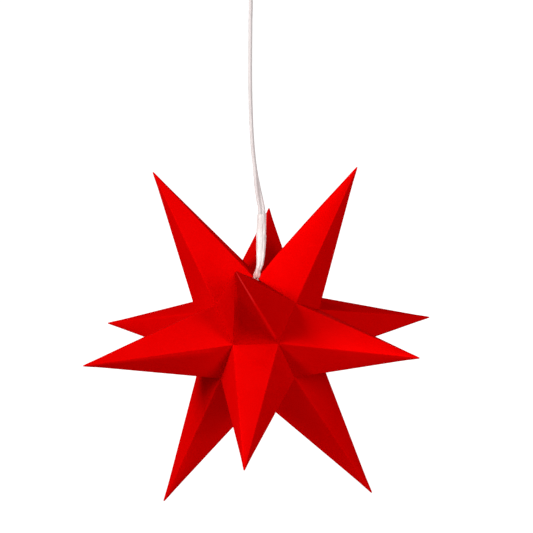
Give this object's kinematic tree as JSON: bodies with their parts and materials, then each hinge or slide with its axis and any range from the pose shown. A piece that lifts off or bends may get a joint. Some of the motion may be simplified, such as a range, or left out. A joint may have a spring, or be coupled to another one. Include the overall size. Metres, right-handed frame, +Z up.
{
  "type": "led hanging star",
  "caption": "Hanging lantern star of long folded film spikes with an LED lamp inside, on a short twin flex from a screw coupling.",
  "frame": {"origin": "middle of the coupling's mating face, at the top of the flex", "axes": "+Z up, along the coupling; +X to the right and +Y away from the viewer of the picture"},
  "size_m": [0.154, 0.1532, 0.2986],
  "materials": {
    "film": "satin red polypropylene film",
    "sleeve": "white heat-shrink, softly shining",
    "flex": "white soft PVC",
    "white_plastic": "moulded white plastic",
    "frosted": "frosted",
    "clear": "epoxy with a yellow phosphor",
    "board": "green circuit board",
    "resistor": "tan lacquer",
    "contacts": "bright",
    "seal": "matt"
  },
  "bodies": {
    "coupling": {"coupling_insert": "white_plastic", "contact_plus": "contacts", "contact_minus": "contacts", "seal_ring": "seal", "coupling_body": "white_plastic", "strain_relief": "flex"},
    "nut": {"union_nut": "white_plastic"},
    "lead": {"lead_flex": "flex"},
    "star": {"spike_top_left": "film", "spike_top_right": "film", "spike_front_high": "film", "spike_front_low": "film", "spike_back_high": "film", "spike_back_low": "film", "spike_left_front": "film", "spike_left_back": "film", "spike_right_front": "film", "spike_right_back": "film", "spike_bottom_left": "film", "spike_bottom_right": "film", "joint_sleeve": "sleeve", "stop_bead": "white_plastic", "core_plus": "flex", "core_minus": "flex", "lamp_holder": "white_plastic", "lamp_board": "board", "series_resistor": "resistor", "led": "clear", "lamp_diffuser": "frosted"}
  },
  "joints": [
    {"name": "nut_turn", "type": "hinge", "parent": "coupling", "child": "nut", "pos_m": [0, 0, -0.0086], "axis": [0, 0, 1], "continuous": true},
    {"name": "lead_swing", "type": "hinge", "parent": "coupling", "child": "lead", "pos_m": [0, 0, -0.0434], "axis": [0, 1, 0], "range_deg": [-30, 30]},
    {"name": "star_turn", "type": "hinge", "parent": "lead", "child": "star", "pos_m": [0.00358, -0.004, -0.16267], "axis": [0, 0, 1], "range_deg": [-180, 180], "stiffness_Nm_per_rad": 0.001}
  ]
}
